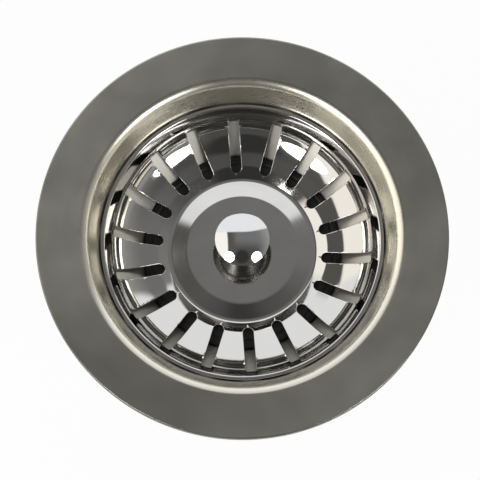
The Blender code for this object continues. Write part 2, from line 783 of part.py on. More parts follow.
def make_waste_body(home, cutters):
    """Moulded body: rim, bowl, funnel, spigot with thread, gussets and ribbed boss."""
    collar_radius = spigot_radius + COLLAR_WIDTH
    collar_bottom = outlet_top_level - COLLAR_HEIGHT
    corners = [
        (body_bowl_radius, body_rim_level, 0.0),
        (body_rim_radius, body_rim_level, 0.0),
        (body_rim_radius, body_rim_level - BODY_RIM_THICKNESS, 0.0),
        (body_outer_radius, body_rim_level - BODY_RIM_THICKNESS, 0.0),
        (body_outer_radius, neck_level - BODY_CONE_DROP, BODY_OUTER_ROUND),
        (sump_radius + SUMP_WALL, cup_bottom_level, 0.0),
        (collar_radius, outlet_top_level, 0.0),
        (collar_radius, collar_bottom, 0.0),
        (spigot_radius, collar_bottom, 0.0),
        (spigot_radius, outlet_end_level, 0.0),
        (OUTLET_BORE_RADIUS, outlet_end_level, 0.0),
        (OUTLET_BORE_RADIUS, outlet_top_level, BODY_INNER_ROUND),
        (sump_radius, cup_bottom_level, 0.0),
        (body_bowl_radius, neck_level, BODY_INNER_ROUND),
    ]
    obj = turned_piece("waste_body", rounded_outline(corners, WIDE_ARC_STEP), BODY_STEPS, True, home,
                       0.0)
    boss_length = boss_top_level - boss_bottom_level
    boss_middle = overall_height + (boss_top_level + boss_bottom_level) / 2.0
    boss = round_tool("boss", boss_radius, boss_length, SMALL_STEPS, cutters,
                      (0.0, 0.0, boss_middle))
    rib_span = (OUTLET_BORE_RADIUS + JOIN_OVERLAP * 2.0) * 2.0
    rib_top = outlet_top_level - RIB_TOP_DROP
    rib_size = (rib_span, RIB_THICKNESS, rib_top - boss_bottom_level)
    rib_middle = overall_height + (rib_top + boss_bottom_level) / 2.0
    for index in range(RIB_COUNT // 2):
        rib = bar_tool(f"rib_{index}", rib_size, cutters, rib_middle,
                       FULL_TURN * index / RIB_COUNT)
        combine(obj, rib, 'UNION')
    combine(obj, boss, 'UNION')
    pocket_length = INSERT_LENGTH + FIT_GAP * 2.0 + CUT_OVERRUN
    pocket_top = insert_top_level + FIT_GAP
    pocket = round_tool("insert_pocket_cutter", insert_radius + FIT_GAP, pocket_length,
                        SMALL_STEPS, cutters,
                        (0.0, 0.0, overall_height + pocket_top - pocket_length / 2.0))
    combine(obj, pocket, 'DIFFERENCE')
    hole = round_tool("screw_hole_cutter", screw_hole_radius, BOSS_ROOF + CUT_OVERRUN * 2.0,
                      SMALL_STEPS, cutters, (0.0, 0.0, overall_height + boss_top_level))
    combine(obj, hole, 'DIFFERENCE')
    for gusset in make_gussets(cutters):
        combine(obj, gusset, 'UNION')
    combine(obj, make_thread(cutters), 'UNION')
    finish(obj, black_plastic())
    return obj


def make_thread_insert(home):
    """Brass insert with a plain bore and a retaining groove."""
    middle = (insert_top_level + insert_bottom_level) / 2.0
    groove_radius = insert_radius - INSERT_GROOVE_DEPTH
    groove_half = INSERT_GROOVE_WIDTH / 2.0
    points = [
        (screw_hole_radius, insert_top_level),
        (insert_radius, insert_top_level),
        (insert_radius, middle + groove_half),
        (groove_radius, middle + groove_half),
        (groove_radius, middle - groove_half),
        (insert_radius, middle - groove_half),
        (insert_radius, insert_bottom_level),
        (screw_hole_radius, insert_bottom_level),
    ]
    obj = turned_piece("thread_insert", points, SMALL_STEPS, True, home, 0.0)
    finish(obj, brass())
    return obj


def new_axis(name, collection, parent, height):
    """Empty on the common axis that carries the pieces of one moving group."""
    empty = bpy.data.objects.new(name, None)
    collection.objects.link(empty)
    empty.parent = parent
    empty.location = (0.0, 0.0, height)
    return empty


def build():
    """Make every piece of the strainer waste."""
    clear_scene()
    parts = new_collection(PARTS_NAME)
    cutters = new_collection(CUTTERS_NAME)

    flange_plane = new_axis("flange_plane", parts, None, overall_height)
    lift_axis = new_axis("lift_axis", parts, flange_plane, 0.0)
    turn_axis = new_axis("turn_axis", parts, lift_axis, 0.0)
    fixed = (parts, flange_plane)
    lifted = (parts, lift_axis)
    turned = (parts, turn_axis)
    bpy.context.view_layer.update()

    make_flange_cup(fixed, cutters)
    make_flange_seal(fixed)
    make_sink_gasket(fixed)
    make_waste_body(fixed, cutters)
    make_thread_insert(fixed)
    make_clamp_screw(fixed, cutters)
    washer_bottom = washer_top_level - WASHER_THICKNESS
    plain_ring("screw_washer", screw_hole_radius, washer_radius, washer_top_level, washer_bottom,
               SMALL_STEPS, fixed, white_nylon())

    make_knob(lifted)
    make_stem(lifted)
    make_stem_ring(lifted)
    make_nut(lifted, cutters)

    make_basket(turned, cutters)
    make_stopper_seal(turned)
    plate_bottom = seal_plate_level - SEAL_PLATE_THICKNESS
    plain_ring("seal_plate", hub_bore_radius, SEAL_PLATE_RADIUS, seal_plate_level, plate_bottom,
               SMALL_STEPS, turned, plain_steel())


build()
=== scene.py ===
"""Looks of a kitchen sink basket strainer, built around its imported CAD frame."""
import math

import bmesh
import bpy
from mathutils import Matrix, Vector


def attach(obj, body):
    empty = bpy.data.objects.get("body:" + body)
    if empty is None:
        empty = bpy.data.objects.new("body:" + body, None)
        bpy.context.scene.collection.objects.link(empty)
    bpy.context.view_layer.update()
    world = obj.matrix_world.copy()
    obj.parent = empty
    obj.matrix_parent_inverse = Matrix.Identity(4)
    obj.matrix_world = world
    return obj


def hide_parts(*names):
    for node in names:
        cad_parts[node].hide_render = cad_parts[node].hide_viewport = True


bl_info = {
    "name": "Sink basket strainer",
    "version": (1, 0, 0),
    "blender": (4, 5, 0),
    "location": "View3D > Sidebar > Strainer",
    "description": "Builds the visible pieces and finishes of a sink basket strainer",
    "category": "Add Mesh",
}

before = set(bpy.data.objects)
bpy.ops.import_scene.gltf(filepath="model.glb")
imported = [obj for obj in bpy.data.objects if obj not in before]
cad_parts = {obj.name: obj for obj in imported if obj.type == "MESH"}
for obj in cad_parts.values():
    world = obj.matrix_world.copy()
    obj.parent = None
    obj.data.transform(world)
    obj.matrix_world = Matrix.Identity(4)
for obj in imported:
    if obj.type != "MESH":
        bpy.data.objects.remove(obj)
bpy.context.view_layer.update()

# Lengths are in metres. Levels are measured up from the plane of the flange's outer edge.
TOP = 0.07615
LIFT = 0.001
OVERLAP = 0.0004
WELD = 0.000001
ORIGIN = Vector((0.0, 0.0, 0.0))
UP = Vector((0.0, 0.0, 1.0))
ARC_STEP = math.radians(6.0)
CREASE = math.radians(40.0)

# Roundings of edges that several pieces share, from sharp to full
SHARP = 0.0
BROKEN = 0.0001
FINE = 0.0002
SOFT = 0.0003
EASED = 0.0004
ROUNDED = 0.0005
FULL = 0.0006

# Steps round a turned piece
PIN_STEPS = 64
SCREW_STEPS = 96
PLATE_STEPS = 128
STOPPER_STEPS = 160
RING_STEPS = 192

# Lines per metre in a finish
FINE_LINES = 9000.0
PRESSED_LINES = 4000.0
BRUSHED_LINES = 2600.0

# Radii and levels that several pieces share
FLANGE_RADIUS = 0.05715
WALL_RADIUS = 0.0404
NECK_RADIUS = 0.0258
FLOOR_LEVEL = -0.03905
DRAIN_RING_INNER = 0.0122
DRAIN_RING_OUTER = 0.0234
SCREW_HOLE_RADIUS = 0.0063
HUB_RADIUS = 0.0033
BEVEL_RADIUS = 0.0206
KNOB_RADIUS = 0.0077
KNOB_EDGE_LEVEL = -0.00885
STEM_RADIUS = 0.003
NUT_TOP = -0.02785
NUT_BOTTOM = -0.03105
SCREW_HEAD_TOP = -0.03245
SCREW_HEAD_RADIUS = 0.008
RIM_UNDERSIDE = -0.0128
SPIGOT_RADIUS = 0.0228
SPIGOT_BORE_RADIUS = 0.0198
SPIGOT_END = -0.07615
BOSS_TOP = -0.04815
BOSS_BOTTOM = -0.06175

# Section of each turned piece and tool: its named corners as (radius, level, rounding)
SECTIONS = {
    "pressed_cup": {
        "screw hole": (SCREW_HOLE_RADIUS, FLOOR_LEVEL, SHARP),
        "drain ring's inside": (DRAIN_RING_INNER, FLOOR_LEVEL, SHARP),
        "drain ring's outside": (DRAIN_RING_OUTER, FLOOR_LEVEL, SHARP),
        "floor": (NECK_RADIUS, FLOOR_LEVEL, 0.002),
        "neck": (NECK_RADIUS, -0.02725, 0.001),
        "bowl": (WALL_RADIUS, -0.01432, 0.003),
        "wall": (WALL_RADIUS, -0.009, 0.004),
        "roll": (0.0433, -0.0004, 0.0029),
        "flange": (FLANGE_RADIUS, 0.0, EASED),
        "folded edge": (FLANGE_RADIUS, -0.0029, SHARP)},
    "slotted_basket": {
        "hub": (HUB_RADIUS, -0.02185, SHARP),
        "dimple": (0.0088, -0.0214, 0.02),
        "plateau": (0.016, -0.0214, 0.0032),
        "bevel": (BEVEL_RADIUS, -0.02265, 0.0024),
        "valley": (0.0214, -0.02265, 0.0019),
        "riser": (0.02465, -0.0212, 0.008),
        "middle": (0.03125, -0.0194, 0.017),
        "corner": (0.03653, -0.01582, 0.0092),
        "wall": (0.0389, -0.009, ROUNDED),
        "rim": (0.04, -0.0091, SHARP)},
    "pull_knob": {
        "edge": (KNOB_RADIUS, KNOB_EDGE_LEVEL, SHARP),
        "edge's underside": (KNOB_RADIUS, -0.00945, FINE),
        "neck": (0.0053, -0.01045, 0.001),
        "foot": (0.0043, -0.02155, SHARP),
        "bore": (HUB_RADIUS, -0.02155, SHARP),
        "bore's end": (HUB_RADIUS, -0.01405, SHARP),
        "middle": (0.0, -0.01405, SHARP)},
    "rubber_stopper": {
        "hole": (HUB_RADIUS, -0.02275, SHARP),
        "hub": (0.0132, -0.02275, EASED),
        "hub's foot": (0.0142, -0.02375, ROUNDED),
        "upper groove's inside": (0.0261, -0.02375, SOFT),
        "upper groove's bed inside": (0.0264, -0.02395, FINE),
        "upper groove's bed outside": (0.027, -0.02395, FINE),
        "upper groove's outside": (0.0273, -0.02375, SOFT),
        "lip": (0.0293, -0.02375, 0.00035),
        "foot": (0.02648, -0.02625, FULL),
        "lower groove's outside": (0.0205, -0.02625, SOFT),
        "lower groove's bed outside": (0.0202, -0.02595, FINE),
        "lower groove's bed inside": (0.0194, -0.02595, FINE),
        "lower groove's inside": (0.0191, -0.02625, SOFT),
        "hole's foot": (HUB_RADIUS, -0.02625, SHARP)},
    "backing_plate": {
        "hole": (HUB_RADIUS, -0.02655, SHARP),
        "upper edge": (0.018, -0.02655, SOFT),
        "lower edge": (0.018, -0.02755, EASED),
        "dish's outside": (0.00797, -0.02755, FULL),
        "dish": (0.00757, -0.02735, FULL),
        "hole's foot": (HUB_RADIUS, -0.02735, SHARP)},
    "basket_stem": {
        "top": (0.0, -0.01435, SHARP),
        "top chamfer": (0.0022, -0.01435, FINE),
        "shank": (STEM_RADIUS, -0.01515, FINE),
        "neck's shoulder": (STEM_RADIUS, -0.03265, FINE),
        "neck": (0.0027, -0.03305, FINE),
        "neck's foot": (0.0027, -0.03385, FINE),
        "pin": (STEM_RADIUS, -0.03415, FINE),
        "groove's top": (STEM_RADIUS, -0.03951, 0.00015),
        "groove's bed": (0.0015, -0.03951, BROKEN),
        "groove's bed below": (0.0015, -0.04171, BROKEN),
        "groove's foot": (STEM_RADIUS, -0.04171, 0.00015),
        "end chamfer": (STEM_RADIUS, -0.04505, EASED),
        "end": (0.002, -0.04605, EASED),
        "tip": (0.0, -0.04605, SHARP)},
    "grip_ring": {
        "lower inside": (0.0018, -0.04141, 0.000792),
        "lower outside": (0.0034, -0.04141, 0.000792),
        "upper outside": (0.0034, -0.03981, 0.000792),
        "upper inside": (0.0018, -0.03981, 0.000792)},
    "nut_corners": {
        "top": (0.0, NUT_TOP, SHARP),
        "upper face": (0.0049, NUT_TOP, SHARP),
        "upper crown": (0.0066, -0.02875, SHARP),
        "lower crown": (0.0066, -0.03015, SHARP),
        "lower face": (0.0049, NUT_BOTTOM, SHARP),
        "foot": (0.0, NUT_BOTTOM, SHARP)},
    "nut_bore": {
        "top": (0.0, NUT_TOP + LIFT, SHARP),
        "upper countersink": (0.0048, NUT_TOP + LIFT, SHARP),
        "bore": (HUB_RADIUS, -0.02835, SHARP),
        "bore's foot": (HUB_RADIUS, -0.03055, SHARP),
        "lower countersink": (0.0048, NUT_BOTTOM - LIFT, SHARP),
        "foot": (0.0, NUT_BOTTOM - LIFT, SHARP)},
    "hollow_screw": {
        "bore's end": (0.0, -0.04805, SHARP),
        "bore's corner": (0.004, -0.04805, SHARP),
        "bore": (0.004, -0.03305, SHARP),
        "mouth": (0.0046, SCREW_HEAD_TOP, BROKEN),
        "head": (SCREW_HEAD_RADIUS, SCREW_HEAD_TOP, 0.0008),
        "head's underside": (SCREW_HEAD_RADIUS, -0.03745, FINE),
        "shank": (0.006, -0.03745, SOFT),
        "tip chamfer": (0.006, -0.06045, SOFT),
        "tip": (0.005, -0.06145, FINE),
        "tip's middle": (0.0, -0.06145, SHARP)},
    "nylon_washer": {
        "lower inside": (SCREW_HOLE_RADIUS, -0.03875, BROKEN),
        "lower outside": (0.011, -0.03875, FINE),
        "upper outside": (0.011, -0.03775, FINE),
        "upper inside": (SCREW_HOLE_RADIUS, -0.03775, BROKEN)},
    "brass_insert": {
        "bore": (SCREW_HOLE_RADIUS, -0.05145, SHARP),
        "top": (0.0085, -0.05145, FINE),
        "groove's top": (0.0085, -0.05545, FINE),
        "groove's bed": (0.0079, -0.05545, BROKEN),
        "groove's bed below": (0.0079, -0.05745, BROKEN),
        "groove's foot": (0.0085, -0.05745, FINE),
        "foot": (0.0085, -0.06145, FINE),
        "countersink": (0.0068, -0.06145, BROKEN),
        "bore's foot": (SCREW_HOLE_RADIUS, -0.06095, BROKEN)},
    "foam_ring": {
        "upper inside": (0.0461, -0.00142, FINE),
        "upper outside": (0.05525, -0.00116, SOFT),
        "lower outside": (0.05525, -0.0038, SOFT),
        "lower inside": (0.0461, -0.0038, FINE)},
    "sink_ring": {
        "upper inside": (0.0445, -0.006, SOFT),
        "upper outside": (0.0524, -0.006, 0.0007),
        "above the flash": (0.0524, -0.0074, SHARP),
        "flash": (0.05252, -0.0075, SHARP),
        "below the flash": (0.0524, -0.0076, SHARP),
        "lower outside": (0.0524, -0.009, 0.0007),
        "lower inside": (0.0445, -0.009, SOFT)},
    "outlet_body": {
        "rim's inside": (0.0443, -0.0093, ROUNDED),
        "rim": (0.053, -0.0093, FULL),
        "rim's underside": (0.053, RIM_UNDERSIDE, FULL),
        "bowl": (0.0469, RIM_UNDERSIDE, 0.0008),
        "bowl's foot": (0.0469, -0.02855, 0.005),
        "sump": (0.0333, -0.03985, 0.003),
        "collar": (0.025, -0.05015, 0.001),
        "collar's foot": (0.025, -0.05415, FULL),
        "spigot": (SPIGOT_RADIUS, -0.05415, ROUNDED),
        "end chamfer": (SPIGOT_RADIUS, -0.07555, FINE),
        "end": (0.0222, SPIGOT_END, FINE),
        "bore's end": (SPIGOT_BORE_RADIUS, SPIGOT_END, EASED),
        "bore": (SPIGOT_BORE_RADIUS, -0.05015, 0.0025),
        "sump's inside": (0.0297, -0.03985, 0.0015),
        "bowl's inside": (0.0443, -0.02725, 0.0025)},
    "boss": {
        "top": (0.0, BOSS_TOP, SHARP),
        "edge": (0.0102, BOSS_TOP, 0.001),
        "lower edge": (0.0102, BOSS_BOTTOM, EASED),
        "foot": (0.0, BOSS_BOTTOM, SHARP)},
    "pocket": {
        "top": (0.0, BOSS_TOP + LIFT, SHARP),
        "hole": (SCREW_HOLE_RADIUS, BOSS_TOP + LIFT, SHARP),
        "hole's foot": (SCREW_HOLE_RADIUS, -0.05115, SHARP),
        "seat": (0.0088, -0.05115, SHARP),
        "mouth": (0.0088, BOSS_BOTTOM - LIFT, SHARP),
        "foot": (0.0, BOSS_BOTTOM - LIFT, SHARP)},
}


# Building

def chain(shape, points):
    """Edges through points, given as a list of vertices or places."""
    verts = [p if isinstance(p, bmesh.types.BMVert) else shape.verts.new(p) for p in points]
    return verts, [shape.edges.new(pair) for pair in zip(verts, verts[1:])]


def whole(shape):
    """All of a shape's geometry."""
    return shape.verts[:] + shape.edges[:] + shape.faces[:]


def spin(shape, geom, angle, steps, centre=ORIGIN, axis=UP, travel=ORIGIN, closed=False,
         copies=False):
    """Spin geometry about an axis and return its last place."""
    return bmesh.ops.spin(shape, geom=geom, cent=centre, axis=axis, dvec=travel, angle=angle,
                          steps=steps, use_merge=closed, use_normal_flip=False,
                          use_duplicate=copies)["geom_last"]


def outline(shape, section, closed=False):
    """Edges of a named section at +X, with its corners rounded."""
    corners = list(SECTIONS[section].values())
    verts, _ = chain(shape, [(radius, 0.0, TOP + level) for radius, level, _ in corners])
    if closed:
        shape.edges.new((verts[-1], verts[0]))
    count = len(corners)
    for index, (vert, corner) in enumerate(zip(verts, corners)):
        rounding = corner[2]
        if not rounding or (not closed and index in (0, count - 1)):
            continue
        here = Vector(corner[:2])
        before = here - Vector(corners[index - 1][:2])
        after = Vector(corners[(index + 1) % count][:2]) - here
        turn = before.angle(after)
        bmesh.ops.bevel(shape, geom=[vert], offset=rounding * math.tan(turn / 2.0),
                        offset_type='OFFSET', segments=max(2, math.ceil(turn / ARC_STEP)),
                        profile=0.5, affect='VERTICES', material=-1)


def arc(shape, start, centre, axis, angle, steps):
    """Chain of edges that a vertex leaves as it turns about an axis."""
    before = set(shape.edges)
    last = spin(shape, [start], angle, steps, centre, axis)
    end = [item for item in last if isinstance(item, bmesh.types.BMVert)][0]
    return end, [edge for edge in shape.edges if edge not in before]


def turn_round(shape, steps):
    """Spin a whole outline once about the upright axis and close its seam and poles."""
    spin(shape, shape.verts[:] + shape.edges[:], math.tau, steps, closed=True)
    close_up(shape)


def close_up(shape):
    """Merge doubles and point the faces outwards."""
    bmesh.ops.remove_doubles(shape, verts=shape.verts, dist=WELD)
    bmesh.ops.recalc_face_normals(shape, faces=shape.faces)


def face_up(shape):
    """Point the faces of an open sheet upwards."""
    shape.normal_update()
    if sum(face.normal.z * face.calc_area() for face in shape.faces) < 0.0:
        bmesh.ops.reverse_faces(shape, faces=shape.faces)


def repeat_round(shape, count):
    """Repeat a whole shape round the upright axis until it stands there count times."""
    spin(shape, whole(shape), math.tau * (count - 1) / count, count - 1, copies=True)


def helix(shape, geom, angle, steps, rise, inward=0.0, heading=0.0):
    """Draw a section up and round the axis, and return its last place."""
    travel = Vector((-inward, 0.0, rise)) / steps
    travel.rotate(Matrix.Rotation(heading, 3, 'Z'))
    return spin(shape, geom, angle, steps, travel=travel)


def height_at(section, radius):
    """Height of a sheet's sorted (radius, height) points at a radius."""
    for low, high in zip(section, section[1:]):
        if radius <= high[0]:
            return low[1] + (radius - low[0]) / (high[0] - low[0]) * (high[1] - low[1])
    return section[-1][1]


def side_stations(start, end, count):
    """Even distances from start to end, without the start."""
    return [start + (end - start) * (step + 1) / count for step in range(count)]


def spokes(edges, ceiling):
    """Edges that run from the lifted hole to the sector's rim and stay under a ceiling."""
    return [edge for edge in edges
            if edge.verts[0].co.z != edge.verts[1].co.z
            and max(vert.co.z for vert in edge.verts) <= ceiling]


def new_object(name, shape, materials):
    """Object of a finished mesh, smooth between its creases."""
    mesh = bpy.data.meshes.new(name)
    shape.to_mesh(mesh)
    shape.free()
    for material in materials:
        mesh.materials.append(material)
    mesh.shade_smooth()
    mesh.set_sharp_from_angle(angle=CREASE)
    obj = bpy.data.objects.new(name, mesh)
    bpy.context.scene.collection.objects.link(obj)
    return obj


def stand_in(obj, body, node):
    """Let a piece stand for its CAD node on its body."""
    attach(obj, body)
    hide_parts(node)


def thicken(obj, thickness):
    """Give a sheet its thickness on the side away from its faces."""
    solidify = obj.modifiers.new("sheet", 'SOLIDIFY')
    solidify.thickness = thickness
    solidify.offset = -1.0
    solidify.use_even_offset = True
    solidify.use_rim = True


def round_edges(obj, width, segments):
    """Round the right-angled edges of a piece."""
    bevel = obj.modifiers.new("edges", 'BEVEL')
    bevel.width = width
    bevel.segments = segments
    bevel.limit_method = 'ANGLE'
    bevel.angle_limit = CREASE
    bevel.use_clamp_overlap = False
    bevel.profile = 0.5


def even_shading(obj):
    """Let the large faces set the shading next to small ones."""
    normals = obj.modifiers.new("shading", 'WEIGHTED_NORMAL')
    normals.mode = 'FACE_AREA'
    normals.weight = 50
    normals.keep_sharp = True


def carve(obj, tool, operation):
    """Join a tool to a piece or cut it out, and remove the tool."""
    boolean = obj.modifiers.new("carve", 'BOOLEAN')
    boolean.operation = operation
    boolean.solver = 'EXACT'
    boolean.object = tool
    bpy.context.view_layer.update()
    evaluated = obj.evaluated_get(bpy.context.evaluated_depsgraph_get())
    mesh = bpy.data.meshes.new_from_object(evaluated)
    obj.modifiers.clear()
    shape = bmesh.new()
    shape.from_mesh(mesh)
    bmesh.ops.dissolve_degenerate(shape, dist=WELD, edges=shape.edges)
    shape.to_mesh(mesh)
    shape.free()
    obj.data = mesh
    bpy.data.objects.remove(tool, do_unlink=True)


def bar_tool(name, size, place, turn=0.0):
    """Bar of a size at a place, turned about the upright axis."""
    shape = bmesh.new()
    bmesh.ops.create_cube(shape, size=1.0)
    bmesh.ops.scale(shape, vec=size, verts=shape.verts)
    bmesh.ops.translate(shape, vec=place, verts=shape.verts)
    bmesh.ops.rotate(shape, cent=ORIGIN, matrix=Matrix.Rotation(turn, 3, 'Z'), verts=shape.verts)
    return new_object(name, shape, [])


def turned_shape(name, steps, materials=(), closed=False):
    """Turned shape of the section of its name, as a piece or as a tool."""
    shape = bmesh.new()
    outline(shape, name, closed)
    turn_round(shape, steps)
    return new_object(name, shape, materials)


def turned_piece(name, body, node, steps, material, closed=True):
    """Turned piece that stands for its CAD node."""
    obj = turned_shape(name, steps, [material], closed)
    even_shading(obj)
    stand_in(obj, body, node)


# Finishes

class Wiring:
    """A node tree and the nodes that are added to it."""

    def __init__(self, tree):
        self.tree = tree

    def feed(self, socket, value):
        """Link a socket or set its value."""
        if isinstance(value, bpy.types.NodeSocket):
            self.tree.links.new(value, socket)
        else:
            socket.default_value = value

    def set(self, node, **inputs):
        """Link or set a node's inputs by name."""
        for name, value in inputs.items():
            self.feed(node.inputs[name], value)

    def add(self, kind, inputs=None, **settings):
        """Add a node with its settings and inputs."""
        node = self.tree.nodes.new(kind)
        for name, value in settings.items():
            setattr(node, name, value)
        self.set(node, **(inputs or {}))
        return node

    def math(self, operation, first, second=0.0):
        """Result of a math node."""
        node = self.add("ShaderNodeMath", operation=operation)
        self.feed(node.inputs[0], first)
        self.feed(node.inputs[1], second)
        return node.outputs["Value"]

    def vector(self, operation, first, second=None, output="Vector"):
        """Result of a vector math node."""
        node = self.add("ShaderNodeVectorMath", operation=operation)
        self.feed(node.inputs[0], first)
        if second is not None:
            self.feed(node.inputs[1], second)
        return node.outputs[output]

    def split(self, vector):
        """The three parts of a vector."""
        parts = self.add("ShaderNodeSeparateXYZ", {"Vector": vector})
        return [parts.outputs[name] for name in "XYZ"]

    def spread(self, value, low=0.0, high=1.0, start=0.0, end=1.0, **settings):
        """Value between start and end, mapped to low and high."""
        node = self.add("ShaderNodeMapRange", {"Value": value, "From Min": start, "From Max": end,
                                               "To Min": low, "To Max": high}, **settings)
        return node.outputs["Result"]

    def mix(self, factor, first, second):
        """Colour between two colours."""
        node = self.add("ShaderNodeMix", data_type='RGBA')
        for index, value in ((0, factor), (6, first), (7, second)):
            self.feed(node.inputs[index], value)
        return node.outputs[2]


class Finish(Wiring):
    """A material and the node tree that it is wired up in."""

    def __init__(self, name, colour, metallic, roughness):
        self.material = bpy.data.materials.new(name)
        self.material.use_nodes = True
        self.material.diffuse_color = (*colour, 1.0)
        super().__init__(self.material.node_tree)
        self.shader = self.tree.nodes["Principled BSDF"]
        self.set(self.shader, **{"Base Color": (*colour, 1.0), "Metallic": metallic,
                                 "Roughness": roughness})
        self.place = self.add("ShaderNodeTexCoord").outputs["Object"]

    def dress(self, colour, roughness=None):
        """Drive the shader's colour, and its roughness where one is given."""
        self.feed(self.shader.inputs["Base Color"], colour)
        if roughness is not None:
            self.feed(self.shader.inputs["Roughness"], roughness)

    def noise(self, scale, detail=2.0, **inputs):
        """Grey noise at a scale."""
        inputs = {"Vector": self.place, "Scale": scale, "Detail": detail, **inputs}
        return self.add("ShaderNodeTexNoise", inputs).outputs["Fac"]

    def tint(self, factor, colour, darker, lighter):
        """Colour between a darker and a lighter share of itself."""
        return self.mix(factor, shade(colour, darker), shade(colour, lighter))

    def bump(self, height, distance):
        """Give the shader a bump of a real depth."""
        node = self.add("ShaderNodeBump", {"Height": height, "Distance": distance,
                                           "Strength": 1.0})
        self.set(self.shader, Normal=node.outputs["Normal"])

    def flat_place(self):
        """Place with its level left out."""
        return self.vector('MULTIPLY', self.place, (1.0, 1.0, 0.0))

    def reach(self):
        """Distance from the upright axis."""
        return self.vector('LENGTH', self.flat_place(), output="Value")

    def turned_grain(self, fineness, length=7.0):
        """Noise drawn out round the upright axis, as fine turning or brushing lines."""
        east, north, _ = self.split(self.vector('NORMALIZE', self.flat_place()))
        level = self.split(self.place)[2]
        grain = self.add("ShaderNodeCombineXYZ", {
            "X": self.math('MULTIPLY', self.reach(), fineness),
            "Y": self.math('MULTIPLY', level, fineness),
            "Z": self.math('MULTIPLY', east, length)})
        return self.add("ShaderNodeTexNoise", {
            "Vector": grain.outputs["Vector"], "Scale": 1.0, "Detail": 3.0, "Roughness": 0.6,
            "W": self.math('MULTIPLY', north, length)}, noise_dimensions='4D').outputs["Fac"]

    def scale(self, colour, share):
        """Colour made lighter or darker by a share that varies."""
        node = self.add("ShaderNodeVectorMath", {"Scale": share}, operation='SCALE')
        self.feed(node.inputs[0], colour)
        return node.outputs["Vector"]

    def painted_brush_sheen(self, swing=-110.0):
        """Painted highlight that swings softly between the two diagonals, as round brushing shows
        it.
        """
        east, north, _ = self.split(self.place)
        return self.math('MULTIPLY', self.math('MULTIPLY', east, north), swing)

    def brush_round(self, amount):
        """Stretch the gloss across brushing that runs round the upright axis."""
        tangent = self.vector('NORMALIZE', self.vector('CROSS_PRODUCT', UP, self.place))
        self.set(self.shader, Anisotropic=amount, Tangent=tangent)


def shade(colour, share):
    """Colour made lighter or darker by a share, as the mix nodes take it."""
    return (*[channel * share for channel in colour], 1.0)


def turned_metal(name, colour, roughness, grain, depth, brushing=0.0, fineness=FINE_LINES,
                 patches_and_sheen=0.0, outer=None, fade=(0.0, 1.0)):
    """Metal with fine lines round its axis, faint clouding and uneven gloss; a share of patches
    adds random tone patches and a painted highlight of round brushing to its colour.
    """
    finish = Finish(name, colour, 1.0, roughness)
    lines = finish.turned_grain(fineness)
    clouds = finish.noise(scale=90.0, detail=4.0)
    tone = finish.tint(finish.spread(clouds, start=0.35, end=0.65), colour, 0.96, 1.03)
    if outer:
        beyond = finish.spread(finish.reach(), start=fade[0], end=fade[1])
        tone = finish.mix(beyond, tone, shade(outer, 1.0))
    # Random tone patches plus a painted highlight of round brushing on two opposite diagonals
    tone_and_sheen = finish.math('ADD', finish.noise(scale=19.0, detail=1.0), finish.painted_brush_sheen())
    tone_and_sheen = finish.spread(tone_and_sheen, 1.0 - patches_and_sheen, 1.0 + patches_and_sheen, start=0.3, end=0.7)
    uneven = finish.math('ADD', finish.spread(lines, -grain, grain, start=0.25, end=0.75),
                         finish.spread(clouds, -grain, grain, start=0.3, end=0.7))
    finish.dress(finish.scale(tone, tone_and_sheen), finish.math('ADD', uneven, roughness))
    finish.bump(lines, depth)
    if brushing:
        finish.brush_round(brushing)
    return finish.material


def mirror_metal(name, colour, roughness, depth, hairline=0.05):
    """Polished metal with the faint waviness and hairlines of a pressed sheet."""
    finish = Finish(name, colour, 1.0, roughness)
    hairs = finish.spread(finish.noise(scale=900.0, detail=4.0, Distortion=2.0),
                          start=0.56, end=0.7)
    finish.dress(finish.tint(finish.noise(scale=55.0), colour, 0.98, 1.02),
                 finish.math('ADD', finish.math('MULTIPLY', hairs, hairline), roughness))
    finish.bump(finish.noise(scale=160.0, detail=1.0), depth)
    return finish.material


def rubber(name, colour, texture=0.00002):
    """Moulded rubber with a fine grain and a little dust."""
    finish = Finish(name, colour, 0.0, 0.5)
    dust = finish.noise(scale=240.0, detail=5.0)
    finish.dress(finish.tint(finish.spread(dust, start=0.5, end=0.75), colour, 0.9, 1.7),
                 finish.spread(dust, 0.42, 0.62, start=0.3, end=0.7))
    finish.bump(finish.noise(scale=2600.0), texture)
    return finish.material


def moulded_plastic(name, colour, texture, gloss, swing=0.06):
    """Moulded plastic with a spark-eroded texture and faint flow marks."""
    finish = Finish(name, colour, 0.0, gloss)
    flow = finish.noise(scale=38.0, detail=3.0, Distortion=1.5)
    finish.dress(finish.tint(finish.spread(flow, start=0.35, end=0.65), colour, 0.88, 1.12),
                 finish.spread(flow, gloss - swing, gloss + swing, start=0.35, end=0.65))
    finish.bump(finish.noise(scale=1800.0, detail=3.0), texture)
    return finish.material


def cell_foam(name, colour, depth=0.0001):
    """Closed-cell foam with small open cells on its cut faces, painted darker in their pits as
    painted shade.
    """
    finish = Finish(name, colour, 0.0, 0.9)
    cells = finish.add("ShaderNodeTexVoronoi", {"Vector": finish.place, "Scale": 2200.0})
    wall = cells.outputs["Distance"]
    # Painted shade: the cells are darker towards their sunken middles
    finish.dress(finish.tint(finish.spread(wall, start=0.1, end=0.5), colour, 0.8, 1.0))
    finish.bump(wall, depth)
    return finish.material


# Settings

def colour_setting(name, description, default):
    """Colour of a finish, as a setting."""
    return bpy.props.FloatVectorProperty(name=name, description=description, default=default,
                                         subtype='COLOR', size=3, min=0.0, max=1.0)


def length_setting(name, description, default, low, high):
    """Length, as a setting with its limits."""
    return bpy.props.FloatProperty(name=name, description=description, default=default, min=low,
                                   max=high, unit='LENGTH', subtype='DISTANCE')


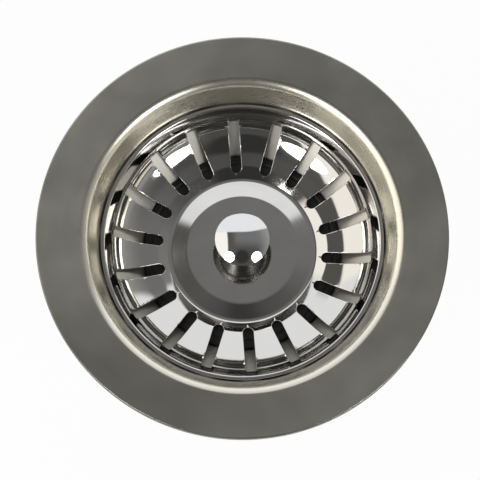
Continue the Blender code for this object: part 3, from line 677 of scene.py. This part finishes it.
class StrainerSteel(bpy.types.PropertyGroup):
    """Steel finishes."""
    flange: colour_setting("Brushed steel", "Colour of the flange", (0.53, 0.508, 0.45))
    # Darker copy of the flange steel: painted shade that dims the folded edge's reflection of the
    # floor
    edge: colour_setting("Folded edge", "Colour of the flange's folded edge",
                         (0.15, 0.147, 0.13))
    # Lighter copy of the sheet's steel: painted light for the bright bands of the cup's wall
    wall: colour_setting("Wall steel", "Colour of the cup's wall", (0.84, 0.803, 0.684))
    cup: colour_setting("Cup steel", "Colour of the inside of the cup", (0.62, 0.6, 0.55))
    flange_roughness: bpy.props.FloatProperty(
        name="Flange roughness", description="Roughness of the brushed flange", default=0.22,
        min=0.05, max=1.0, subtype='FACTOR')
    basket: colour_setting("Polished steel", "Colour of the basket", (0.6, 0.59, 0.57))
    knob: colour_setting("Knob steel", "Colour of the knob", (0.66, 0.66, 0.66))
    # Darker copy of the knob steel: painted shade under the knob's head
    neck: colour_setting("Neck steel", "Colour of the knob's neck and underside",
                         (0.3, 0.295, 0.28))
    fastener: colour_setting("Fastener steel", "Colour of screw, nut, plate and stem",
                             (0.5, 0.5, 0.49))
    brass: colour_setting("Brass", "Colour of the threaded insert", (0.72, 0.53, 0.25))


class StrainerMouldings(bpy.types.PropertyGroup):
    """Rubber, foam and plastic finishes."""
    rubber: colour_setting("Rubber", "Colour of seals and rings", (0.012, 0.012, 0.012))
    foam: colour_setting("Foam", "Colour of the flange seal", (0.75, 0.75, 0.73))
    body: colour_setting("Body plastic", "Colour of the outlet body", (0.02, 0.02, 0.021))
    nylon: colour_setting("Nylon", "Colour of the screw's washer", (0.8, 0.79, 0.75))


class StrainerSizes(bpy.types.PropertyGroup):
    """Sizes that a user may change."""
    slot_width: length_setting("Slot width", "Width of the basket's slots", 0.00305, 0.001,
                               0.004)
    slot_turn: bpy.props.FloatProperty(
        name="Slot turn", description="Direction of the first slot", default=math.radians(94.0),
        unit='ROTATION', subtype='ANGLE')
    sheet_edge: length_setting("Sheet edge", "Rounding of the basket's cut edges", 0.00017,
                               0.00005, 0.0002)
    camera_distance: length_setting("Camera distance", "From the camera to the flange's middle",
                                    0.4143, 0.2, 1.0)
    floor_size: length_setting("Floor size", "Side of the floor", 8.0, 1.0, 20.0)


GROUPS = {"strainer_steel": StrainerSteel, "strainer_mouldings": StrainerMouldings,
          "strainer_sizes": StrainerSizes}


# Pieces

class StrainerCup(bpy.types.Operator):
    """Press the flange and cup"""
    bl_idname = "strainer.cup"
    bl_label = "Flange and cup"

    sheet = 0.0008
    drain_holes = 8
    drain_radius = 0.0045
    drain_pitch_radius = 0.01755
    # Radii that part the folded edge, flange, wall and inside of the cup; the folded edge holds
    # painted shade and the wall painted light
    zone_edges = (0.0569, 0.0448, 0.0405)
    # Radii over which the wall's painted light fades into the flange's colour
    painted_light_fade = (0.0434, 0.0448)

    def execute(self, context):
        """Spin the section, pierce the floor and give the sheet its thickness."""
        steel = context.scene.strainer_steel
        shape = bmesh.new()
        outline(shape, "pressed_cup")
        turn_round(shape, RING_STEPS)
        self.pierce_floor(shape)
        for face in shape.faces:
            reach = face.calc_center_median().xy.length
            face.material_index = sum(reach < edge for edge in self.zone_edges)
        obj = new_object("pressed_cup", shape, [
            # Painted shade: the folded edge is the flange's steel darkened
            turned_metal("painted_shade_edge_steel", steel.edge, roughness=0.4, grain=0.04,
                         depth=0.0000008, fineness=BRUSHED_LINES),
            # The flange's colour swings in random patches and in a painted highlight of its round
            # brushing
            turned_metal("brushed_flange_steel", steel.flange, steel.flange_roughness, grain=0.03,
                         depth=0.0000008, brushing=0.4, fineness=BRUSHED_LINES, patches_and_sheen=0.2),
            # Painted light: the wall is the sheet's steel lightened, fading into the flange's
            # colour towards the roll
            turned_metal("painted_light_wall_steel", steel.wall, roughness=0.28, grain=0.015,
                         depth=0.0000001, fineness=BRUSHED_LINES, outer=steel.flange,
                         fade=self.painted_light_fade),
            turned_metal("cup_inside_steel", steel.cup, roughness=0.4, grain=0.03,
                         depth=0.00000005, fineness=BRUSHED_LINES)])
        thicken(obj, self.sheet)
        even_shading(obj)
        stand_in(obj, "waste", "flange_cup")
        return {'FINISHED'}

    def pierce_floor(self, shape):
        """Replace a ring of the floor by sectors with a drain hole each."""
        bmesh.ops.delete(shape, geom=[
            face for face in shape.faces
            if DRAIN_RING_INNER < face.calc_center_median().xy.length < DRAIN_RING_OUTER],
            context='FACES')
        across = RING_STEPS // self.drain_holes
        sides = side_stations(DRAIN_RING_INNER, DRAIN_RING_OUTER, across // 2)
        half = math.pi / self.drain_holes
        left = Vector((math.cos(half), math.sin(half), 0.0))
        right = Vector((left.x, -left.y, 0.0))
        sector = bmesh.new()
        start = sector.verts.new(right * DRAIN_RING_INNER)
        turned, loops = arc(sector, start, ORIGIN, UP, half * 2.0, across)
        out, edges = chain(sector, [turned] + [left * reach for reach in sides])
        loops += edges
        back, edges = arc(sector, out[-1], ORIGIN, UP, -half * 2.0, across)
        loops += edges
        way_back = [right * reach for reach in reversed(sides[:-1])]
        loops += chain(sector, [back] + way_back + [start])[1]
        loops += self.drain_hole(sector, across * 3)
        rays = bmesh.ops.bridge_loops(sector, edges=loops)["edges"]
        bmesh.ops.subdivide_edges(sector, edges=spokes(rays, LIFT), cuts=2, use_grid_fill=True)
        below_hole = LIFT * 0.9
        bmesh.ops.subdivide_edges(sector, edges=spokes(sector.edges, below_hole), cuts=2,
                                  use_grid_fill=True)
        for vert in sector.verts:
            vert.co.z = TOP + FLOOR_LEVEL
        repeat_round(sector, self.drain_holes)
        mesh = bpy.data.meshes.new("sectors")
        sector.to_mesh(mesh)
        sector.free()
        shape.from_mesh(mesh)
        bpy.data.meshes.remove(mesh)
        close_up(shape)
        face_up(shape)

    def drain_hole(self, shape, points):
        """Round hole of the floor, drawn as a lifted loop."""
        centre = Vector((self.drain_pitch_radius, 0.0, LIFT))
        start = shape.verts.new(centre - Vector((self.drain_radius, 0.0, 0.0)))
        end, edges = arc(shape, start, centre, UP, math.tau * (points - 1) / points, points - 1)
        return edges + [shape.edges.new((end, start))]


class StrainerBasket(bpy.types.Operator):
    """Press and slot the basket"""
    bl_idname = "strainer.basket"
    bl_label = "Slotted basket"

    sheet = 0.0006
    steps = 216
    edge_steps = 3
    slots = 18
    slot_inner = 0.0231
    slot_outer = 0.0369
    tip_steps = 14
    side_steps = 12
    corner_rounding = 0.0004
    corner_steps = 4
    overrun = 0.001
    # Flare of a slot's upper edge, outwards and upwards, as shares of the edge's rounding
    flare = ((0.0, -1.0), (0.3, -0.3), (1.0, 0.1))

    def execute(self, context):
        """Spin the section, cut the slots and round their edges."""
        steel = context.scene.strainer_steel
        sizes = context.scene.strainer_sizes
        shape = bmesh.new()
        outline(shape, "slotted_basket")
        section = sorted((vert.co.x, vert.co.z) for vert in shape.verts)
        turn_round(shape, self.steps)
        face_up(shape)
        for face in shape.faces:
            face.material_index = int(face.calc_center_median().xy.length <= BEVEL_RADIUS)
        obj = new_object("slotted_basket", shape, [
            mirror_metal("polished_basket_steel", steel.basket, roughness=0.055,
                         depth=0.000004),
            turned_metal("satin_middle_steel", steel.basket, roughness=0.1, grain=0.02,
                         depth=0.0000005, brushing=0.2, fineness=PRESSED_LINES)])
        thicken(obj, self.sheet)
        round_edges(obj, sizes.sheet_edge, self.edge_steps)
        carve(obj, self.slot_tools(section, sizes), 'DIFFERENCE')
        even_shading(obj)
        stand_in(obj, "basket", "strainer_basket")
        return {'FINISHED'}

    def slot_tools(self, section, sizes):
        """Slot cutters whose flared tops leave rounded edges on the sheet."""
        edge = sizes.sheet_edge
        below = -self.sheet - self.overrun * 4.0
        shape = bmesh.new()
        rings = []
        for outset, rise in ((0.0, below), *[(edge * out, edge * up) for out, up in self.flare],
                             (edge, self.overrun)):
            ring = self.slot_loop(shape, sizes.slot_width / 2.0 + outset,
                                  self.slot_inner - outset, self.slot_outer + outset,
                                  self.corner_rounding + outset)
            for vert in {vert for side in ring for vert in side.verts}:
                vert.co.z = height_at(section, vert.co.xy.length) + rise
            rings.append(ring)
        for low, high in zip(rings, rings[1:]):
            bmesh.ops.bridge_loops(shape, edges=low + high)
        for cap in (rings[0], rings[-1]):
            bmesh.ops.contextual_create(shape, geom=cap)
        repeat_round(shape, self.slots)
        bmesh.ops.recalc_face_normals(shape, faces=shape.faces)
        bmesh.ops.rotate(shape, cent=ORIGIN, verts=shape.verts,
                         matrix=Matrix.Rotation(sizes.slot_turn, 3, 'Z'))
        return new_object("slot_tools", shape, [])

    def slot_loop(self, shape, half, inner, outer, rounding):
        """Closed loop of one slot with a round inner end and rounded outer corners."""
        centre = inner + half
        end = outer - rounding
        width = half - rounding
        corner = (UP, -math.pi / 2.0, self.corner_steps)
        stations = side_stations(centre, end, self.side_steps)
        start = shape.verts.new((centre, -half, 0.0))
        tip, loop = arc(shape, start, (centre, 0.0, 0.0), UP, -math.pi, self.tip_steps)
        side, edges = chain(shape, [tip] + [(x, half, 0.0) for x in stations])
        loop += edges
        turned, edges = arc(shape, side[-1], (end, width, 0.0), *corner)
        loop += edges
        across, edges = chain(shape, [turned, (outer, 0.0, 0.0), (outer, -width, 0.0)])
        loop += edges
        back, edges = arc(shape, across[-1], (end, -width, 0.0), *corner)
        home = [(x, -half, 0.0) for x in reversed(stations[:-1])]
        return loop + edges + chain(shape, [back] + home + [start])[1]


class StrainerKnob(bpy.types.Operator):
    """Turn the pull knob"""
    bl_idname = "strainer.knob"
    bl_label = "Pull knob"

    dome_radius = 0.0139
    dome_steps = 16
    polished_edge = 0.00042

    def execute(self, context):
        """Spin the dome, its thin edge and the narrowing neck."""
        steel = context.scene.strainer_steel
        edge = TOP + KNOB_EDGE_LEVEL
        dome = math.asin(KNOB_RADIUS / self.dome_radius)
        centre = edge - self.dome_radius * math.cos(dome)
        shape = bmesh.new()
        outline(shape, "pull_knob")
        start = shape.verts.new((0.0, 0.0, centre + self.dome_radius))
        arc(shape, start, (0.0, 0.0, centre), (0.0, 1.0, 0.0), dome, self.dome_steps)
        bmesh.ops.remove_doubles(shape, verts=shape.verts, dist=WELD)
        turn_round(shape, PLATE_STEPS)
        for face in shape.faces:
            level = face.calc_center_median().z
            face.material_index = int(level < edge - self.polished_edge)
        obj = new_object("pull_knob", shape, [
            mirror_metal("polished_knob_steel", steel.knob, roughness=0.035, depth=0.0000015),
            # Painted shade: below the head's polished edge the knob steel is darkened
            turned_metal("painted_shade_neck_steel", steel.neck, roughness=0.2, grain=0.02,
                         depth=0.0000003, brushing=0.3, fineness=PRESSED_LINES)])
        even_shading(obj)
        stand_in(obj, "lifter", "knob")
        return {'FINISHED'}


class StrainerStopper(bpy.types.Operator):
    """Mould the rubber stopper and press its backing plate"""
    bl_idname = "strainer.stopper"
    bl_label = "Rubber stopper and backing plate"

    def execute(self, context):
        """Spin the disc with its conical edge, and the plate below it."""
        turned_piece("rubber_stopper", "basket", "stopper_seal", STOPPER_STEPS,
                     rubber("stopper_rubber", context.scene.strainer_mouldings.rubber))
        turned_piece("backing_plate", "basket", "seal_plate", PLATE_STEPS,
                     turned_metal("pressed_plate_steel", context.scene.strainer_steel.fastener,
                                  roughness=0.28, grain=0.04, depth=0.000001, brushing=0.3,
                                  fineness=PRESSED_LINES))
        return {'FINISHED'}


class StrainerLifter(bpy.types.Operator):
    """Turn the stem and make its nut and its grip ring"""
    bl_idname = "strainer.lifter"
    bl_label = "Stem, nut and grip ring"

    nut_corner_radius = 0.00577

    def execute(self, context):
        """Make the small pieces that ride with the knob."""
        steel = context.scene.strainer_steel
        turned_piece("basket_stem", "lifter", "stem", PIN_STEPS,
                     turned_metal("turned_stem_steel", steel.fastener, roughness=0.24,
                                  grain=0.05, depth=0.000002, brushing=0.3), closed=False)
        self.nut(steel)
        turned_piece("grip_ring", "lifter", "stem_ring", PIN_STEPS,
                     rubber("grip_ring_rubber", context.scene.strainer_mouldings.rubber))
        return {'FINISHED'}

    def nut(self, steel):
        """Hexagon nut with turned corners and a countersunk bore."""
        shape = bmesh.new()
        middle = TOP + (NUT_TOP + NUT_BOTTOM) / 2.0
        bmesh.ops.create_cone(shape, cap_ends=True, segments=6, radius1=self.nut_corner_radius,
                              radius2=self.nut_corner_radius, depth=NUT_TOP - NUT_BOTTOM,
                              matrix=Matrix.Translation((0.0, 0.0, middle)))
        obj = new_object("hexagon_nut", shape, [
            turned_metal("nut_steel", steel.fastener, roughness=0.3, grain=0.05,
                         depth=0.000003)])
        carve(obj, turned_shape("nut_corners", SCREW_STEPS), 'INTERSECT')
        carve(obj, turned_shape("nut_bore", SCREW_STEPS), 'DIFFERENCE')
        obj.data.set_sharp_from_angle(angle=CREASE / 2.0)
        stand_in(obj, "lifter", "stem_nut")


class StrainerClamp(bpy.types.Operator):
    """Turn the clamp screw, its washer and the brass insert"""
    bl_idname = "strainer.clamp"
    bl_label = "Clamp screw, washer and insert"

    slot_blade = (0.02, 0.0024, 0.004)

    def execute(self, context):
        """Spin the three pieces and saw the slot of the screw's head."""
        steel = context.scene.strainer_steel
        screw = turned_shape("hollow_screw", SCREW_STEPS, [
            turned_metal("screw_steel", steel.fastener, roughness=0.26, grain=0.05,
                         depth=0.000002, brushing=0.3)])
        place = (0.0, 0.0, TOP + SCREW_HEAD_TOP)
        carve(screw, bar_tool("screw_slot", self.slot_blade, place), 'DIFFERENCE')
        even_shading(screw)
        stand_in(screw, "waste", "clamp_screw")
        turned_piece("nylon_washer", "waste", "screw_washer", SCREW_STEPS,
                     moulded_plastic("washer_nylon", context.scene.strainer_mouldings.nylon,
                                     texture=0.00001, gloss=0.4))
        turned_piece("brass_insert", "waste", "thread_insert", SCREW_STEPS,
                     turned_metal("insert_brass", steel.brass, roughness=0.25, grain=0.05,
                                  depth=0.000003, brushing=0.3))
        return {'FINISHED'}


class StrainerRings(bpy.types.Operator):
    """Cut the flange's foam ring and mould the rubber ring under the sink"""
    bl_idname = "strainer.rings"
    bl_label = "Foam ring and sink ring"

    def execute(self, context):
        """Spin both rings."""
        mouldings = context.scene.strainer_mouldings
        turned_piece("foam_ring", "waste", "flange_seal", RING_STEPS,
                     cell_foam("seal_foam", mouldings.foam))
        turned_piece("sink_ring", "waste", "sink_gasket", RING_STEPS,
                     rubber("sink_ring_rubber", mouldings.rubber))
        return {'FINISHED'}


class StrainerBody(bpy.types.Operator):
    """Mould the outlet body with its gussets, ribbed boss and pipe thread"""
    bl_idname = "strainer.body"
    bl_label = "Outlet body"

    rib_top = -0.05265
    rib_width = 0.003
    gussets_round = 8
    gusset_inner = 0.0465
    gusset_outer = 0.0518
    gusset_height = 0.008
    gusset_width = 0.002
    thread_pitch = 0.002309
    thread_start = -0.07355
    thread_turns = 5.5
    thread_crest = 0.0239
    root_half = 0.001
    crest_half = 0.00025
    thread_steps = 40
    end_steps = 8
    run_out = math.radians(72.0)

    def execute(self, context):
        """Spin the shell, then join and cut what isn't round."""
        obj = turned_shape("outlet_body", PLATE_STEPS, [
            moulded_plastic("body_plastic_black", context.scene.strainer_mouldings.body,
                            texture=0.00004, gloss=0.42)], closed=True)
        span = (SPIGOT_BORE_RADIUS + OVERLAP * 2.0) * 2.0
        rib = (span, self.rib_width, self.rib_top - BOSS_BOTTOM)
        middle = (0.0, 0.0, TOP + (self.rib_top + BOSS_BOTTOM) / 2.0)
        for turn in (0.0, math.pi / 2.0):
            carve(obj, bar_tool("rib", rib, middle, turn), 'UNION')
        carve(obj, turned_shape("boss", SCREW_STEPS), 'UNION')
        carve(obj, turned_shape("pocket", SCREW_STEPS), 'DIFFERENCE')
        carve(obj, self.gussets(), 'UNION')
        carve(obj, self.thread(), 'UNION')
        obj.data.set_sharp_from_angle(angle=CREASE)
        even_shading(obj)
        stand_in(obj, "waste", "waste_body")
        return {'FINISHED'}

    def gussets(self):
        """Upright webs between the rim and the bowl."""
        shape = bmesh.new()
        side = -self.gusset_width / 2.0
        rim = TOP + RIM_UNDERSIDE
        verts, _ = chain(shape, [(self.gusset_inner, side, rim + OVERLAP),
                                 (self.gusset_inner, side, rim - self.gusset_height),
                                 (self.gusset_outer, side, rim),
                                 (self.gusset_outer, side, rim + OVERLAP)])
        across = bmesh.ops.extrude_face_region(shape, geom=[shape.faces.new(verts)],
                                               use_keep_orig=True)
        bmesh.ops.translate(shape, vec=(0.0, self.gusset_width, 0.0), verts=[
            item for item in across["geom"] if isinstance(item, bmesh.types.BMVert)])
        repeat_round(shape, self.gussets_round)
        bmesh.ops.recalc_face_normals(shape, faces=shape.faces)
        return new_object("gussets", shape, [])

    def thread(self):
        """Right-handed pipe thread whose ends run out into the spigot."""
        shape = bmesh.new()
        root = SPIGOT_RADIUS - OVERLAP
        start = TOP + self.thread_start
        verts, edges = chain(shape, [(root, 0.0, start - self.root_half),
                                     (self.thread_crest, 0.0, start - self.crest_half),
                                     (self.thread_crest, 0.0, start + self.crest_half),
                                     (root, 0.0, start + self.root_half)])
        section = verts + edges + [shape.edges.new((verts[-1], verts[0]))]
        turn = math.tau * self.thread_turns
        rise = self.thread_pitch * self.run_out / math.tau
        sink = self.thread_crest - root
        last = helix(shape, section, turn, round(self.thread_turns * self.thread_steps),
                     self.thread_pitch * self.thread_turns)
        helix(shape, last, self.run_out, self.end_steps, rise, sink, turn)
        helix(shape, section, -self.run_out, self.end_steps, -rise, sink)
        ends = [edge for edge in shape.edges if edge.is_boundary]
        bmesh.ops.holes_fill(shape, edges=ends, sides=0)
        close_up(shape)
        return new_object("thread", shape, [])


class StrainerStage(bpy.types.Operator):
    """Set the floor, lamps, surroundings and camera"""
    bl_idname = "strainer.stage"
    bl_label = "Stage"

    tilt = math.radians(13.55)
    lens = 112.5
    sensor = 36.0
    near_clip = 0.01
    aside = -0.000635
    below = -0.002376
    left_lamp = (-0.505, -0.51, 0.697)
    right_lamp = (0.565, -0.502, 0.655)
    lamp_distance = 0.8
    lamp_width = 0.35
    lamp_power = 1.75
    floor_glow = 0.95
    floor_tone = (0.9, 0.9, 0.9)
    floor_patches = (0.93, 0.93, 0.93)
    far_wall_bend = 0.23
    camera_heading = (0.0, -0.55, 0.835)
    pole_guard = 0.0001
    # Surroundings as shares of white
    open_side = (0.1, 0.1, 0.098)
    ceiling = (0.235, 0.235, 0.235)
    left_corner = (0.125, 0.125, 0.12)
    camera_side = (0.045, 0.045, 0.043)
    right_wall = (0.42, 0.42, 0.41)
    left_wall = (1.4, 1.35, 1.27)
    far_wall = (1.15, 1.17, 1.2)

    def execute(self, context):
        """Make everything that isn't part of the strainer."""
        self.floor(context)
        self.surroundings(context)
        for direction in (self.left_lamp, self.right_lamp):
            self.lamp(context, Vector(direction))
        self.camera(context)
        return {'FINISHED'}

    def floor(self, context):
        """Pale floor that keeps a soft shadow."""
        shape = bmesh.new()
        bmesh.ops.create_grid(shape, x_segments=1, y_segments=1,
                              size=context.scene.strainer_sizes.floor_size / 2.0)
        finish = Finish("pale_floor", self.floor_tone, 0.0, 0.6)
        finish.dress(finish.mix(finish.noise(scale=9.0, detail=4.0), (*self.floor_tone, 1.0),
                                (*self.floor_patches, 1.0)))
        path = finish.add("ShaderNodeLightPath").outputs
        seen = finish.math('MAXIMUM', path["Is Camera Ray"], finish.math(
            'MAXIMUM', path["Is Glossy Ray"], path["Is Transmission Ray"]))
        glow = finish.add("ShaderNodeEmission", {"Color": (1.0, 1.0, 1.0, 1.0), "Strength": 1.0})
        mixer = finish.add("ShaderNodeMixShader")
        for socket, value in zip(mixer.inputs, (
                finish.math('MULTIPLY', seen, self.floor_glow), finish.shader.outputs["BSDF"],
                glow.outputs["Emission"])):
            finish.feed(socket, value)
        finish.set(finish.tree.nodes["Material Output"], Surface=mixer.outputs["Shader"])
        new_object("floor", shape, [finish.material])

    def lamp(self, context, direction):
        """Round softbox above the near side."""
        light = bpy.data.lights.new("softbox", 'AREA')
        light.shape = 'DISK'
        light.size = self.lamp_width
        light.energy = self.lamp_power
        obj = bpy.data.objects.new("softbox", light)
        obj.location = Vector((0.0, 0.0, TOP)) + direction.normalized() * self.lamp_distance
        obj.rotation_euler = direction.to_track_quat('Z', 'Y').to_euler()
        context.scene.collection.objects.link(obj)

    def surroundings(self, context):
        """Studio seen by the steel: bright walls at the far and left side, dark near side."""
        world = bpy.data.worlds.new("studio")
        world.use_nodes = True
        context.scene.world = world
        room = Wiring(world.node_tree)
        direction = room.add("ShaderNodeTexCoord").outputs["Generated"]
        east, north, high = room.split(direction)

        def soft(value, start, end):
            """Share that rises softly as a value goes from start to end."""
            return room.spread(value, start=start, end=end, interpolation_type='SMOOTHSTEP')

        level = room.math('SQRT', room.math('MAXIMUM', room.math(
            'SUBTRACT', 1.0, room.math('MULTIPLY', high, high)), self.pole_guard))
        right = soft(room.math('DIVIDE', east, level), 0.3, 0.8)
        near = room.vector('DOT_PRODUCT', direction, self.camera_heading, output="Value")
        bend = room.math('MULTIPLY', room.math('MULTIPLY', east, self.far_wall_bend),
                         room.math('MAXIMUM', east, 0.0))
        colour = (*self.open_side, 1.0)
        for share, tone in (
                (soft(north, -0.35, 0.2), self.ceiling),
                (soft(east, -0.15, -0.45), self.left_corner),
                (soft(near, 0.94, 0.98), self.camera_side),
                (room.math('MULTIPLY', right, soft(high, 0.85, 0.3)), self.right_wall),
                (soft(east, -0.53, -0.59), self.left_wall),
                (soft(room.math('SUBTRACT', north, bend), 0.41, 0.48), self.far_wall),
                (room.add("ShaderNodeLightPath").outputs["Is Camera Ray"], (1.0, 1.0, 1.0))):
            colour = room.mix(share, colour, (*tone, 1.0))
        room.set(room.tree.nodes["Background"], Color=colour, Strength=1.0)

    def camera(self, context):
        """Camera at the photograph's angle."""
        lens = bpy.data.cameras.new("view")
        lens.lens = self.lens
        lens.sensor_width = self.sensor
        lens.clip_start = self.near_clip
        obj = bpy.data.objects.new("view", lens)
        back = Vector((0.0, -math.sin(self.tilt), math.cos(self.tilt)))
        above = Vector((0.0, math.cos(self.tilt), math.sin(self.tilt)))
        obj.location = (Vector((self.aside, 0.0, TOP)) + above * self.below
                        + back * context.scene.strainer_sizes.camera_distance)
        obj.rotation_euler = (self.tilt, 0.0, 0.0)
        context.scene.collection.objects.link(obj)
        context.scene.camera = obj
        context.scene.view_settings.view_transform = 'Standard'


OPERATORS = (StrainerCup, StrainerBasket, StrainerKnob, StrainerStopper, StrainerLifter,
             StrainerClamp, StrainerRings, StrainerBody, StrainerStage)


class StrainerPanel(bpy.types.Panel):
    """Sidebar panel that lists the pieces and their settings"""
    bl_idname = "VIEW3D_PT_strainer"
    bl_label = "Basket strainer"
    bl_space_type = 'VIEW_3D'
    bl_region_type = 'UI'
    bl_category = "Strainer"

    def draw(self, context):
        """List the settings and one button for each operator."""
        for group in GROUPS:
            settings = getattr(context.scene, group)
            for name in settings.bl_rna.properties.keys():
                if name not in ("rna_type", "name"):
                    self.layout.prop(settings, name)
        for operator in OPERATORS:
            self.layout.operator(operator.bl_idname)


def register():
    """Register the settings, operators and panel."""
    for name, group in GROUPS.items():
        bpy.utils.register_class(group)
        setattr(bpy.types.Scene, name, bpy.props.PointerProperty(type=group))
    for operator in OPERATORS:
        bpy.utils.register_class(operator)
    bpy.utils.register_class(StrainerPanel)


def unregister():
    """Remove the panel, operators and settings."""
    bpy.utils.unregister_class(StrainerPanel)
    for operator in reversed(OPERATORS):
        bpy.utils.unregister_class(operator)
    for name, group in GROUPS.items():
        delattr(bpy.types.Scene, name)
        bpy.utils.unregister_class(group)


def main():
    """Build every piece and the stage."""
    register()
    for operator in OPERATORS:
        family, name = operator.bl_idname.split(".")
        getattr(getattr(bpy.ops, family), name)()


if __name__ == "__main__":
    main()
